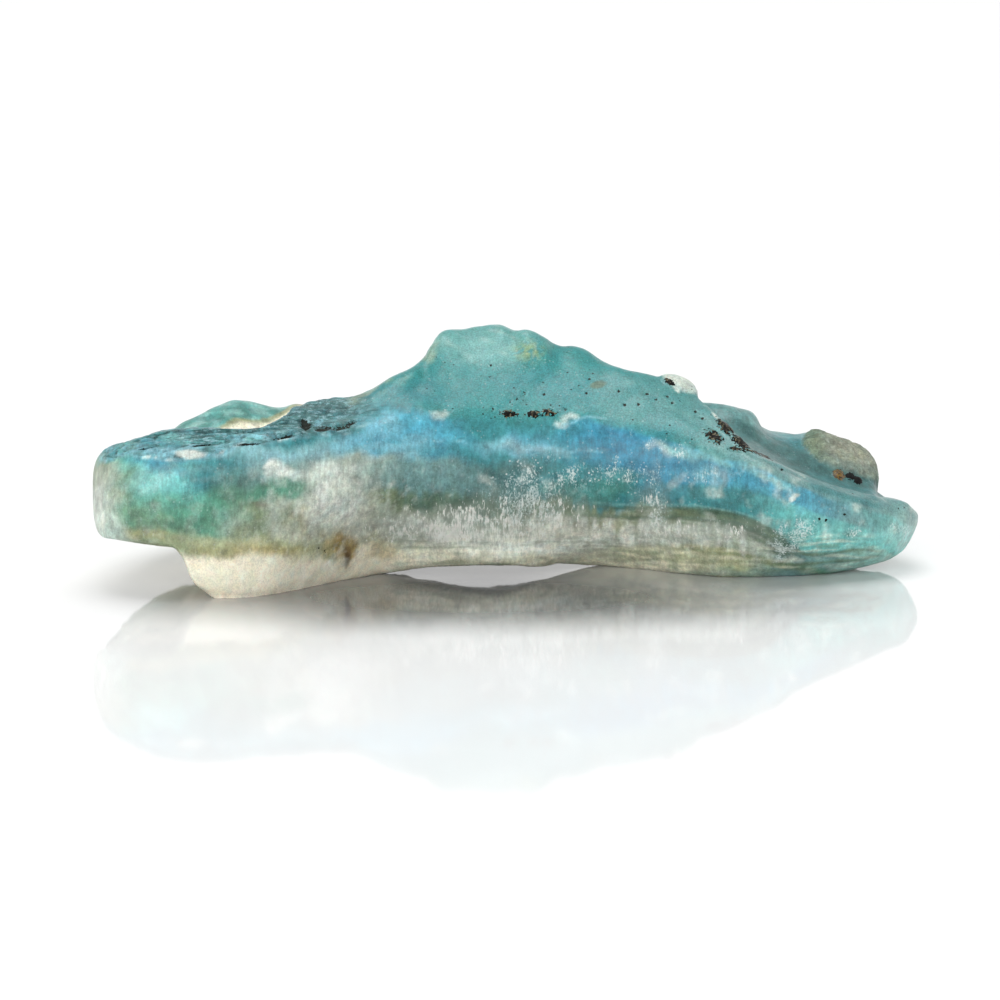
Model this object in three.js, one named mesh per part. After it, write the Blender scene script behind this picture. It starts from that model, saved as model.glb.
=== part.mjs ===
// A raw hemimorphite stone: one piece of botryoidal crust, broken off its rock and lightly tumbled.
// It lies as it rests on a table, with its growth layers nearly level. Units are millimetres. +Z is
// up, +X runs along the stone from its blunt end to its thin lip, and +Y from its broken, banded
// face to its back. The origin is under the middle of the stone, at the height of the table.
import * as THREE from "three";

const LENGTH = 36; // from the blunt end to the lip's nose
const BLUNT_END_ROUNDING = 0.8; // how much of that length the blunt end's rounding takes up
const NOSE_ROUNDING = 0.7; // the same for the nose
const END_SQUARENESS = 2.8; // 2 rounds an end as an ellipse does, and more leaves it blunter
const MIDDLE_RINGS = 52; // cross-sections along the stone, evenly spaced
const END_RINGS = 6; // more of them in each end's rounding
const POINTS_PER_RAIL = 4; // points from one rail to the next, round a cross-section
const COLOUR = 0x76b0b0; // light sea-blue
const ROUGHNESS = 0.35;

// The stone's skin is stretched over twelve rails, which run along it from the blunt end to the
// nose. A rail is a smooth curve through its places [x, y, z]. The rails are listed in the order in
// which they go round the stone: up its broken face, over its top, down its back and under it.
const RAILS = {
  // lower edge of the broken face: the overhanging end, the foot, the arch, then the belly
  toe: [
    [-18, -6.6, 2.3], [-17.2, -7.8, 2.5], [-16, -8.4, 2.42], [-14.7, -8.5, 2.3], [-14.3, -8.48, 2.2],
    [-13.95, -8.45, 1.7], [-13.75, -8.5, 1.1], [-13.5, -8.5, 0.65], [-13, -8.5, 0.33],
    [-12.5, -8.45, 0.2], [-11.6, -8.35, 0.16], [-9.9, -7.35, 0.14], [-7.3, -4.4, 0.12],
    [-6.2, -3.3, 0.1], [-5.5, -2.7, 0.1], [-5, -3, 0.16], [-3.4, -3.1, 0.38], [-0.5, -3.6, 0.55],
    [1.5, -2.5, 0.32], [2.4, -1.5, 0.24], [4.2, -0.7, 0.02], [5.8, -1.2, 0], [7.5, -2.4, 0],
    [9.3, -3.2, 0], [11.3, -3.2, 0], [13, -2.7, 0], [14.9, -2, 0.1], [16.2, -1.2, 0.25],
    [16.9, -0.9, 0.45], [17.5, -0.9, 0.95], [18, -0.9, 1.7],
  ],
  shin: [
    [-18, -6.6, 3.8], [-17, -8.3, 3.7], [-15, -9, 3.4], [-13.9, -8.85, 2.5], [-13.3, -8.8, 1.9],
    [-12, -8.7, 1.6], [-9.9, -7.8, 1.7], [-7.3, -5.5, 1.7], [-5.5, -4.2, 1.6], [-1, -4.2, 1.9],
    [2.4, -3.4, 1.8], [5.8, -3, 1.6], [9.3, -4.2, 1.4], [13, -4.3, 1.1], [15.8, -3.4, 0.95],
    [16.9, -2.5, 1], [17.5, -1.8, 1.35], [18, -1.2, 1.9],
  ],
  face: [
    [-18, -6.2, 5], [-17, -8.2, 5.1], [-15, -9.1, 5.1], [-12, -8.7, 4.4], [-9.9, -8.1, 4.3],
    [-7.3, -6.8, 4.2], [-5.5, -5.9, 4.1], [-1, -4.9, 4.2], [2.4, -4.4, 4], [5.8, -4.3, 3.8],
    [9.3, -5.1, 3.4], [11, -5.7, 3], [13, -5.6, 2.6], [15.8, -4.3, 2.1], [17, -3.3, 1.95],
    [17.5, -2.6, 2.05], [18, -1.5, 2.2],
  ],
  // upper edge of the broken face
  brow: [
    [-18, -5.6, 5.4], [-17.4, -7, 5.95], [-16.6, -7.8, 6.25], [-15, -8.5, 6.6], [-12, -8.2, 6.75],
    [-9.5, -7.5, 6.8], [-7, -6.3, 6.85], [-5, -5.6, 6.85], [-1, -4.3, 6.75], [2.4, -4, 6.55],
    [5.8, -4.2, 6.2], [8, -4.6, 5.95], [9.3, -5.2, 5.65], [11, -6.1, 5.3], [12.3, -5.8, 4.65],
    [13.6, -5, 4.12], [15.8, -4.1, 3.3], [17.4, -2.8, 2.7], [18, -1.7, 2.4],
  ],
  slope: [
    [-18, -5.2, 5.5], [-17.5, -6.6, 5.98], [-16.5, -7.4, 6.55], [-14.7, -7.9, 7.1], [-12, -7.8, 7.2],
    [-10.6, -7.2, 7.1], [-9, -5.8, 7.2], [-7, -4.6, 7.4], [-5, -4.2, 7.85], [-3, -2.6, 8.6],
    [-1, -2.1, 8.7], [2.4, -2.2, 8.35], [5.8, -2.7, 7.7], [8, -3.1, 7.05], [9.3, -4.1, 6.45],
    [11, -5.6, 5.6], [12.3, -5.2, 4.95], [14, -4.3, 4.2], [15.8, -3.5, 3.6], [17.4, -2.3, 3.05],
    [18, -1.6, 2.6],
  ],
  // highest line of the front half: the rough rim, the peak, then down to the lip
  crest: [
    [-18, -4.4, 5.62], [-17.4, -6, 6.12], [-16, -6.9, 6.75], [-14.7, -7.2, 7.2], [-13.3, -7.3, 7.3],
    [-11.6, -7, 7.22], [-10.7, -6.5, 7.15], [-9.9, -5.4, 7.35], [-9.1, -3.9, 7.68], [-8.1, -2.9, 7.8],
    [-6.8, -2.7, 7.9], [-6, -2.7, 8.15], [-5.1, -2.4, 8.65], [-4.2, -2, 9.02], [-3.6, -1.1, 9.42],
    [-3.4, -0.7, 9.75], [-2.8, 0.2, 10.2], [-1.9, 0.6, 10.2], [-1.2, 0.9, 10.35], [-0.3, 0.7, 10.43],
    [0.3, 0.4, 10.24], [0.9, 0, 10.35], [1.7, -0.1, 10.05], [2.05, 0, 9.74], [2.4, 0.1, 9.58],
    [2.9, 0.2, 9.56], [3.4, 0.2, 9.43], [4.2, -0.3, 9.02], [4.9, -0.9, 8.85], [6.2, -1, 8.55],
    [7.3, -1.3, 8.2], [8.4, -1.5, 7.6], [9.3, -2.9, 6.95], [10.1, -4.2, 6.3], [11, -5.1, 5.7],
    [11.9, -5, 5.35], [12.7, -4.3, 4.85], [14.5, -3.4, 4.05], [16.2, -2.5, 3.48], [17.3, -1.9, 3.03],
    [18, -1.3, 2.65],
  ],
  // the hollow behind the rim, the back of the peak, then the crease before the lobes
  saddle: [
    [-18, -3.6, 5.2], [-16.8, -3, 5.55], [-15.3, -2.2, 5.85], [-13.5, -2, 6], [-12, -2, 5.6],
    [-10.5, -1, 5.6], [-9, 0, 6.2], [-7.5, 0.6, 6.7], [-6, 1, 7.1], [-4.6, 2, 7.75], [-3.6, 2.6, 8.3],
    [-2, 3.2, 9.3], [0, 3.4, 9.3], [2, 3, 8.85], [3, 2.9, 8.72], [4, 2.6, 8.35], [6.2, 1.3, 7.6],
    [7.2, 0.2, 8.15], [8.1, -0.2, 7.85], [8.4, -0.25, 7.15], [8.7, -0.3, 6.8], [9.8, -1, 6.1],
    [11.2, -1.6, 5.3], [13, -1.8, 4.3], [15, -1, 3.5], [17, -0.2, 2.8], [18, -0.8, 2.5],
  ],
  // highest line of the back half, which ends in the crust's steep nose
  ridge: [
    [-18, -3, 5], [-16.6, -0.8, 5.25], [-15.3, 0.8, 5.6], [-13.3, 2.3, 6.2], [-12, 3.3, 6.65],
    [-10, 3.9, 6.25], [-9.3, 4.15, 6.38], [-8, 4.5, 6.2], [-6, 5, 6.6], [-3, 6, 7.3], [0, 6.4, 7.6],
    [3, 5.8, 7.3], [6, 4.4, 6.9], [8, 2.2, 6.8], [9.6, 1.1, 6.85], [10.6, 1.1, 6.5], [11.3, 1.3, 5.66],
    [12.3, 1.8, 5.35], [13.4, 2.2, 5.47], [13.8, 2.3, 5.4], [14.7, 2.3, 5.06], [15.3, 2.3, 4.79],
    [15.8, 2.2, 4.47], [16.04, 2.1, 4.15], [16.18, 2.08, 3.6], [16.3, 2.05, 2.8], [16.5, 1.95, 2.6],
    [16.9, 1.6, 2.45], [18, -0.2, 2.4],
  ],
  back: [
    [-18, -2.8, 4.4], [-16, 2.1, 4.3], [-13.5, 4.8, 4.8], [-11, 6.1, 5], [-8, 7, 5], [-4, 8.3, 5.7],
    [0, 9, 5.8], [4, 8.5, 5.4], [8, 7.4, 4.8], [12, 6.2, 4.2], [15, 4.6, 3.6], [16.6, 2.8, 2.5],
    [18, 0.1, 2.3],
  ],
  heel: [
    [-18, -3.2, 3.7], [-17.3, -2.2, 3], [-16.4, 0.6, 2.4], [-15.5, 2.6, 2.1], [-13.8, 4.6, 2],
    [-11, 6, 2.1], [-8, 6.8, 2.4], [-5, 7.7, 2.9], [-2, 8.3, 3.2], [1, 8.4, 3.1], [4, 7.9, 2.4],
    [7, 6.9, 1.3], [9.5, 6, 0.7], [12, 5, 0.7], [14, 4, 0.9], [16, 2.8, 1.3], [18, 0, 2],
  ],
  sole_back: [
    [-18, -3.8, 3.4], [-16, -0.6, 2.3], [-13.6, 1.2, 1.3], [-11, 1.4, 0.2], [-9, 1.2, 0.1],
    [-7, 2.4, 0.9], [-5, 3.4, 1.9], [-2, 4.4, 2.3], [1, 4.3, 2.2], [4, 3.8, 1.4], [6.5, 3.4, 0.4],
    [8.5, 2.8, -0.1], [10.5, 2.4, -0.1], [12.5, 2, 0.1], [14.5, 1.8, 0.5], [16.3, 1.5, 1],
    [18, -0.2, 1.9],
  ],
  sole_front: [
    [-18, -5, 3.2], [-16, -4.2, 2.4], [-14.4, -3.8, 2.1], [-13.7, -5, 1.3], [-13.2, -6.2, 0.5],
    [-12.5, -7.2, 0], [-11.6, -7.2, -0.03], [-10, -6.2, -0.05], [-8, -4, -0.03], [-6.8, -2.4, 0.04],
    [-5.9, -1.2, 0.2], [-5, -0.2, 0.5], [-2, 0.6, 1.2], [1, 0.8, 1.2], [3, 1.2, 0.9], [5, 1.1, 0.3],
    [7, 0.1, 0], [10, -0.4, 0], [13, -0.3, 0.1], [15, -0.1, 0.3], [17, 0.4, 0.85], [18, -0.5, 1.7],
  ],
};

// The height or depth of a rail at x, by a cubic curve through its places whose slope at each place
// is that of the line between the places on either side. axis is 1 for depth and 2 for height.
function railAt(places, axis, x) {
  const last = places.length - 1;
  let i = 0;
  while (i < last - 1 && x > places[i + 1][0]) i += 1;
  const slopeAt = (k) => {
    const before = places[Math.max(k - 1, 0)];
    const after = places[Math.min(k + 1, last)];
    return (after[axis] - before[axis]) / (after[0] - before[0]);
  };
  const [from, to] = [places[i], places[i + 1]];
  const span = to[0] - from[0];
  const t = (x - from[0]) / span;
  return (
    (2 * t ** 3 - 3 * t ** 2 + 1) * from[axis] +
    (t ** 3 - 2 * t ** 2 + t) * span * slopeAt(i) +
    (3 * t ** 2 - 2 * t ** 3) * to[axis] +
    (t ** 3 - t ** 2) * span * slopeAt(i + 1)
  );
}

// Where the cross-sections stand along the stone. They crowd towards each end in the way that
// points spaced evenly round a quarter circle do, so that the rounding is made of even facets.
function ringPlaces() {
  const half = LENGTH / 2;
  const crowded = (i) => 1 - Math.cos((Math.PI / 2) * (i / END_RINGS));
  const start = -half + BLUNT_END_ROUNDING;
  const stop = half - NOSE_ROUNDING;
  const places = [];
  for (let i = 1; i <= END_RINGS; i += 1) places.push(-half + BLUNT_END_ROUNDING * crowded(i));
  for (let i = 1; i < MIDDLE_RINGS; i += 1) places.push(start + ((stop - start) * i) / MIDDLE_RINGS);
  for (let i = END_RINGS; i >= 1; i -= 1) places.push(half - NOSE_ROUNDING * crowded(i));
  return places;
}

// The share of its full size that a cross-section has: 1 along the stone, falling to 0 at each end
// as a superellipse does.
function roundingAt(x) {
  const half = LENGTH / 2;
  const inset = Math.min((x + half) / BLUNT_END_ROUNDING, (half - x) / NOSE_ROUNDING, 1);
  return (1 - (1 - inset) ** END_SQUARENESS) ** (1 / END_SQUARENESS);
}

// One cross-section: its middle, and a smooth loop of points through the twelve rails at x.
function ringAt(x) {
  const stops = Object.values(RAILS).map((places) => {
    return new THREE.Vector3(x, railAt(places, 1, x), railAt(places, 2, x));
  });
  const middle = new THREE.Vector3();
  stops.forEach((stop) => middle.addScaledVector(stop, 1 / stops.length));
  const loop = new THREE.CatmullRomCurve3(stops, true, "catmullrom", 0.5);
  const pointCount = stops.length * POINTS_PER_RAIL;
  const share = roundingAt(x);
  const points = [];
  for (let j = 0; j < pointCount; j += 1) {
    points.push(loop.getPoint(j / pointCount).sub(middle).multiplyScalar(share).add(middle));
  }
  return { middle, points };
}

// The closed skin: a point at each end, the rings between them, and triangles from each to the next.
// What would reach below the table is worn flat at its height, which makes the facets it rests on.
function stoneGeometry() {
  const rings = ringPlaces().map(ringAt);
  const pointCount = rings[0].points.length;
  const bluntTip = rings[0].middle.clone().setX(-LENGTH / 2);
  const nose = rings[rings.length - 1].middle.clone().setX(LENGTH / 2);
  const vertices = [bluntTip, ...rings.flatMap((ring) => ring.points), nose];
  const positions = vertices.flatMap((v) => [v.x, v.y, Math.max(v.z, 0)]);

  const at = (ring, j) => 1 + ring * pointCount + (j % pointCount);
  const lastRing = rings.length - 1;
  const lastVertex = vertices.length - 1;
  const triangles = [];
  for (let j = 0; j < pointCount; j += 1) {
    triangles.push(0, at(0, j), at(0, j + 1));
    for (let i = 0; i < lastRing; i += 1) {
      triangles.push(at(i, j), at(i + 1, j), at(i + 1, j + 1));
      triangles.push(at(i, j), at(i + 1, j + 1), at(i, j + 1));
    }
    triangles.push(lastVertex, at(lastRing, j + 1), at(lastRing, j));
  }

  const geometry = new THREE.BufferGeometry();
  geometry.setAttribute("position", new THREE.Float32BufferAttribute(positions, 3));
  geometry.setIndex(triangles);
  geometry.computeVertexNormals();
  return geometry;
}

const stone = new THREE.Mesh(
  stoneGeometry(),
  new THREE.MeshStandardMaterial({ color: COLOUR, roughness: ROUGHNESS, metalness: 0 })
);
stone.name = "stone";

const hemimorphite = new THREE.Group();
hemimorphite.add(stone);

export default hemimorphite;
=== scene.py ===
import bpy
import numpy as np
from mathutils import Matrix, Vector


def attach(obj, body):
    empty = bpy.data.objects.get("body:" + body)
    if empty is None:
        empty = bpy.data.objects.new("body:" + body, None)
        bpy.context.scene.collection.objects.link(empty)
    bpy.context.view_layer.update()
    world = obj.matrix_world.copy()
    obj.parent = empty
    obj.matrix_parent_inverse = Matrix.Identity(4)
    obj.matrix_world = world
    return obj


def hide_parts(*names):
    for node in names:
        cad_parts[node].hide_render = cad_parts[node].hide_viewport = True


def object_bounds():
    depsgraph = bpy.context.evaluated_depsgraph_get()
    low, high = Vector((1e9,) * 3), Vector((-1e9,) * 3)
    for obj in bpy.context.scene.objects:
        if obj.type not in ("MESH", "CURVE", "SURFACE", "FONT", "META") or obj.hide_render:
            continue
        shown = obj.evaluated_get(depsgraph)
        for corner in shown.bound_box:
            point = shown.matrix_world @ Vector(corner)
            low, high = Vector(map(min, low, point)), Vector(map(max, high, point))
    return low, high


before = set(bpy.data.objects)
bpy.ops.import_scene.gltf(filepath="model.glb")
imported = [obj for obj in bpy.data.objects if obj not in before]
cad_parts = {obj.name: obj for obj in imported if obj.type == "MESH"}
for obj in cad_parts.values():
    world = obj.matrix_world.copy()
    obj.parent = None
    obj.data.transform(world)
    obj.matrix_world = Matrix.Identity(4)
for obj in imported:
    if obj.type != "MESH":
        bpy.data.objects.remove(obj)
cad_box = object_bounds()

# The stone's skin. Raw hemimorphite: one piece of botryoidal crust that grew layer on layer in a
# cavity, was broken off its rock and lightly tumbled. The skin is stretched over twelve rails that
# run from the blunt end to the lip, as in the CAD model. Lengths are in millimetres up to the mesh.
LENGTH = 36
BLUNT_END_ROUNDING = 0.8
NOSE_ROUNDING = 0.7
END_SQUARENESS = 2.8
MIDDLE_RINGS = 372
END_RINGS = 24
# points from each rail to the next: most of them where the stone is banded and broken
SPAN_POINTS = (24, 24, 24, 24, 24, 20, 20, 16, 16, 14, 12, 16)
# The twelve rails, from the front of the foot up over the top and down the back: (x, y, z).
TOE = (
    (-18, -6.6, 2.3), (-17.2, -7.8, 2.5), (-16, -8.4, 2.42), (-14.7, -8.5, 2.3),
    (-14.3, -8.48, 2.2), (-13.95, -8.45, 1.7), (-13.75, -8.5, 1.1), (-13.5, -8.5, 0.65),
    (-13, -8.5, 0.33), (-12.5, -8.45, 0.2), (-11.6, -8.35, 0.16), (-9.9, -7.35, 0.14),
    (-7.3, -4.4, 0.12), (-6.2, -3.3, 0.1), (-5.5, -2.7, 0.1), (-5, -3, 0.16), (-3.4, -3.1, 0.38),
    (-0.5, -3.6, 0.55), (1.5, -2.5, 0.32), (2.4, -1.5, 0.24), (4.2, -0.7, 0.02), (5.8, -1.2, 0),
    (7.5, -2.4, 0), (9.3, -3.2, 0), (11.3, -3.2, 0), (13, -2.7, 0), (14.9, -2, 0.1),
    (16.2, -1.2, 0.25), (16.9, -0.9, 0.45), (17.5, -0.9, 0.95), (18, -0.9, 1.7),
)
SHIN = (
    (-18, -6.6, 3.8), (-17, -8.3, 3.7), (-15, -9, 3.4), (-13.9, -8.85, 2.5), (-13.3, -8.8, 1.9),
    (-12, -8.7, 1.6), (-9.9, -7.8, 1.7), (-7.3, -5.5, 1.7), (-5.5, -4.2, 1.6), (-1, -4.2, 1.9),
    (2.4, -3.4, 1.8), (5.8, -3, 1.6), (9.3, -4.2, 1.4), (13, -4.3, 1.1), (15.8, -3.4, 0.95),
    (16.9, -2.5, 1), (17.5, -1.8, 1.35), (18, -1.2, 1.9),
)
FACE = (
    (-18, -6.2, 5), (-17, -8.2, 5.1), (-15, -9.1, 5.1), (-12, -8.7, 4.4), (-9.9, -8.1, 4.3),
    (-7.3, -6.8, 4.2), (-5.5, -5.9, 4.1), (-1, -4.9, 4.2), (2.4, -4.4, 4), (5.8, -4.3, 3.8),
    (9.3, -5.1, 3.4), (11, -5.7, 3), (13, -5.6, 2.6), (15.8, -4.3, 2.1), (17, -3.3, 1.95),
    (17.5, -2.6, 2.05), (18, -1.5, 2.2),
)
BROW = (
    (-18, -5.6, 5.4), (-17.4, -7, 5.95), (-16.6, -7.8, 6.25), (-15, -8.5, 6.6), (-12, -8.2, 6.75),
    (-9.5, -7.5, 6.8), (-7, -6.3, 6.85), (-5, -5.6, 6.85), (-1, -4.3, 6.75), (2.4, -4, 6.55),
    (5.8, -4.2, 6.2), (8, -4.6, 5.95), (9.3, -5.2, 5.65), (11, -6.1, 5.3), (12.3, -5.8, 4.65),
    (13.6, -5, 4.12), (15.8, -4.1, 3.3), (17.4, -2.8, 2.7), (18, -1.7, 2.4),
)
SLOPE = (
    (-18, -5.2, 5.5), (-17.5, -6.6, 5.98), (-16.5, -7.4, 6.55), (-14.7, -7.9, 7.1),
    (-12, -7.8, 7.2), (-10.6, -7.2, 7.1), (-9, -5.8, 7.2), (-7, -4.6, 7.4), (-5, -4.2, 7.85),
    (-3, -2.6, 8.6), (-1, -2.1, 8.7), (2.4, -2.2, 8.35), (5.8, -2.7, 7.7), (8, -3.1, 7.05),
    (9.3, -4.1, 6.45), (11, -5.6, 5.6), (12.3, -5.2, 4.95), (14, -4.3, 4.2), (15.8, -3.5, 3.6),
    (17.4, -2.3, 3.05), (18, -1.6, 2.6),
)
CREST = (
    (-18, -4.4, 5.62), (-17.4, -6, 6.12), (-16, -6.9, 6.75), (-14.7, -7.2, 7.2), (-13.3, -7.3, 7.3),
    (-11.6, -7, 7.22), (-10.7, -6.5, 7.15), (-9.9, -5.4, 7.35), (-9.1, -3.9, 7.68),
    (-8.1, -2.9, 7.8), (-6.8, -2.7, 7.9), (-6, -2.7, 8.15), (-5.1, -2.4, 8.65), (-4.2, -2, 9.02),
    (-3.6, -1.1, 9.42), (-3.4, -0.7, 9.75), (-2.8, 0.2, 10.2), (-1.9, 0.6, 10.2),
    (-1.2, 0.9, 10.35), (-0.3, 0.7, 10.43), (0.3, 0.4, 10.24), (0.9, 0, 10.35), (1.7, -0.1, 10.05),
    (2.05, 0, 9.74), (2.4, 0.1, 9.58), (2.9, 0.2, 9.56), (3.4, 0.2, 9.43), (4.2, -0.3, 9.02),
    (4.9, -0.9, 8.85), (6.2, -1, 8.55), (7.3, -1.3, 8.2), (8.4, -1.5, 7.6), (9.3, -2.9, 6.95),
    (10.1, -4.2, 6.3), (11, -5.1, 5.7), (11.9, -5, 5.35), (12.7, -4.3, 4.85), (14.5, -3.4, 4.05),
    (16.2, -2.5, 3.48), (17.3, -1.9, 3.03), (18, -1.3, 2.65),
)
SADDLE = (
    (-18, -3.6, 5.2), (-16.8, -3, 5.55), (-15.3, -2.2, 5.85), (-13.5, -2, 6), (-12, -2, 5.6),
    (-10.5, -1, 5.6), (-9, 0, 6.2), (-7.5, 0.6, 6.7), (-6, 1, 7.1), (-4.6, 2, 7.75),
    (-3.6, 2.6, 8.3), (-2, 3.2, 9.3), (0, 3.4, 9.3), (2, 3, 8.85), (3, 2.9, 8.72), (4, 2.6, 8.35),
    (6.2, 1.3, 7.6), (7.2, 0.2, 8.15), (8.1, -0.2, 7.85), (8.4, -0.25, 7.15), (8.7, -0.3, 6.8),
    (9.8, -1, 6.1), (11.2, -1.6, 5.3), (13, -1.8, 4.3), (15, -1, 3.5), (17, -0.2, 2.8),
    (18, -0.8, 2.5),
)
RIDGE = (
    (-18, -3, 5), (-16.6, -0.8, 5.25), (-15.3, 0.8, 5.6), (-13.3, 2.3, 6.2), (-12, 3.3, 6.65),
    (-10, 3.9, 6.25), (-9.3, 4.15, 6.38), (-8, 4.5, 6.2), (-6, 5, 6.6), (-3, 6, 7.3), (0, 6.4, 7.6),
    (3, 5.8, 7.3), (6, 4.4, 6.9), (8, 2.2, 6.8), (9.6, 1.1, 6.85), (10.6, 1.1, 6.5),
    (11.3, 1.3, 5.66), (12.3, 1.8, 5.35), (13.4, 2.2, 5.47), (13.8, 2.3, 5.4), (14.7, 2.3, 5.06),
    (15.3, 2.3, 4.79), (15.8, 2.2, 4.47), (16.04, 2.1, 4.15), (16.18, 2.08, 3.6), (16.3, 2.05, 2.8),
    (16.5, 1.95, 2.6), (16.9, 1.6, 2.45), (18, -0.2, 2.4),
)
BACK = (
    (-18, -2.8, 4.4), (-16, 2.1, 4.3), (-13.5, 4.8, 4.8), (-11, 6.1, 5), (-8, 7, 5), (-4, 8.3, 5.7),
    (0, 9, 5.8), (4, 8.5, 5.4), (8, 7.4, 4.8), (12, 6.2, 4.2), (15, 4.6, 3.6), (16.6, 2.8, 2.5),
    (18, 0.1, 2.3),
)
HEEL = (
    (-18, -3.2, 3.7), (-17.3, -2.2, 3), (-16.4, 0.6, 2.4), (-15.5, 2.6, 2.1), (-13.8, 4.6, 2),
    (-11, 6, 2.1), (-8, 6.8, 2.4), (-5, 7.7, 2.9), (-2, 8.3, 3.2), (1, 8.4, 3.1), (4, 7.9, 2.4),
    (7, 6.9, 1.3), (9.5, 6, 0.7), (12, 5, 0.7), (14, 4, 0.9), (16, 2.8, 1.3), (18, 0, 2),
)
SOLE_BACK = (
    (-18, -3.8, 3.4), (-16, -0.6, 2.3), (-13.6, 1.2, 1.3), (-11, 1.4, 0.2), (-9, 1.2, 0.1),
    (-7, 2.4, 0.9), (-5, 3.4, 1.9), (-2, 4.4, 2.3), (1, 4.3, 2.2), (4, 3.8, 1.4), (6.5, 3.4, 0.4),
    (8.5, 2.8, -0.1), (10.5, 2.4, -0.1), (12.5, 2, 0.1), (14.5, 1.8, 0.5), (16.3, 1.5, 1),
    (18, -0.2, 1.9),
)
SOLE_FRONT = (
    (-18, -5, 3.2), (-16, -4.2, 2.4), (-14.4, -3.8, 2.1), (-13.7, -5, 1.3), (-13.2, -6.2, 0.5),
    (-12.5, -7.2, 0), (-11.6, -7.2, -0.03), (-10, -6.2, -0.05), (-8, -4, -0.03), (-6.8, -2.4, 0.04),
    (-5.9, -1.2, 0.2), (-5, -0.2, 0.5), (-2, 0.6, 1.2), (1, 0.8, 1.2), (3, 1.2, 0.9), (5, 1.1, 0.3),
    (7, 0.1, 0), (10, -0.4, 0), (13, -0.3, 0.1), (15, -0.1, 0.3), (17, 0.4, 0.85), (18, -0.5, 1.7),
)
RAILS = (TOE, SHIN, FACE, BROW, SLOPE, CREST, SADDLE, RIDGE, BACK, HEEL, SOLE_BACK, SOLE_FRONT)


def along(places, x):
    """The values of a smooth curve at each x: a cubic through its places (x, then the values),
    whose slope at a place is that of the line between the places on either side of it."""
    places = np.array(places, float)
    last = len(places) - 1
    at = places[:, 0]
    before = np.maximum(np.arange(last + 1) - 1, 0)
    after = np.minimum(np.arange(last + 1) + 1, last)
    slope = (places[after, 1:] - places[before, 1:]) / (at[after] - at[before])[:, None]
    i = np.clip(np.searchsorted(at, x) - 1, 0, last - 1)
    span = (at[i + 1] - at[i])[:, None]
    t = np.clip((x - at[i])[:, None] / span, 0, 1)
    return (
        (2 * t**3 - 3 * t**2 + 1) * places[i, 1:]
        + (t**3 - 2 * t**2 + t) * span * slope[i]
        + (3 * t**2 - 2 * t**3) * places[i + 1, 1:]
        + (t**3 - t**2) * span * slope[i + 1]
    )


def ring_places():
    """Where the rings stand along the stone: evenly in the middle, and in each end's rounding as
    points spaced evenly round a quarter circle do."""
    crowded = 1 - np.cos(np.pi / 2 * np.arange(1, END_RINGS + 1) / END_RINGS)
    start = -LENGTH / 2 + BLUNT_END_ROUNDING * crowded
    stop = LENGTH / 2 - NOSE_ROUNDING * crowded[::-1]
    middle = np.linspace(start[-1], stop[0], MIDDLE_RINGS + 1)[1:-1]
    return np.concatenate([start, middle, stop])


def ring_share(x):
    """The share of its full size that a ring has: a superellipse's height over its inset."""
    inset = np.minimum((x + LENGTH / 2) / BLUNT_END_ROUNDING, (LENGTH / 2 - x) / NOSE_ROUNDING)
    inset = np.clip(inset, 0, 1)
    return (1 - (1 - inset) ** END_SQUARENESS) ** (1 / END_SQUARENESS)


def skin(x, rail_number):
    """The skin's points (ring, place round it, xyz): at each x a closed Catmull-Rom loop through
    the twelve rails, read at rail numbers from 0 to 12 and scaled about the rails' mean."""
    stops = np.stack([along(places, x) for places in RAILS], axis=1)
    middle = stops.mean(axis=1, keepdims=True)
    count = stops.shape[1]
    i = rail_number.astype(int)
    t = (rail_number - i)[None, :, None]
    p0, p1, p2, p3 = (stops[:, (i + step) % count] for step in (-1, 0, 1, 2))
    loop = 0.5 * (
        2 * p1
        + (p2 - p0) * t
        + (2 * p0 - 5 * p1 + 4 * p2 - p3) * t**2
        + (3 * p1 - p0 - 3 * p2 + p3) * t**3
    )
    loop = (loop - middle) * ring_share(x)[:, None, None] + middle
    across = np.broadcast_to(x[:, None, None], loop.shape[:2] + (1,))
    tips = [np.array([-LENGTH / 2, *middle[0, 0]]), np.array([LENGTH / 2, *middle[-1, 0]])]
    return np.concatenate([across, loop], axis=2), tips


def outward(points):
    """Unit normals of the grid: the cross product of its steps along the stone and round it."""
    along_stone = np.gradient(points, axis=0)
    round_it = np.roll(points, -1, axis=1) - np.roll(points, 1, axis=1)
    normal = np.cross(along_stone, round_it)
    return normal / (np.linalg.norm(normal, axis=2, keepdims=True) + 1e-12)


def rise(low, high, value):
    """0 below low, 1 above high, and a smooth S between them."""
    t = np.clip((value - low) / (high - low), 0, 1)
    return t * t * (3 - 2 * t)


def between(value, low, high, soft):
    """1 from low to high, fading to 0 over a width of soft on either side."""
    return rise(low - soft, low, value) * (1 - rise(high, high + soft, value))


def softened(points, share, rounds):
    """The grid with its bends eased round the stone: each round moves every point half way to the
    middle of its two neighbours, and share says how much of the change is kept."""
    eased = points
    for _ in range(rounds):
        eased = eased / 2 + (np.roll(eased, 1, axis=1) + np.roll(eased, -1, axis=1)) / 4
    return points + (eased - points) * share[..., None]


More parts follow.
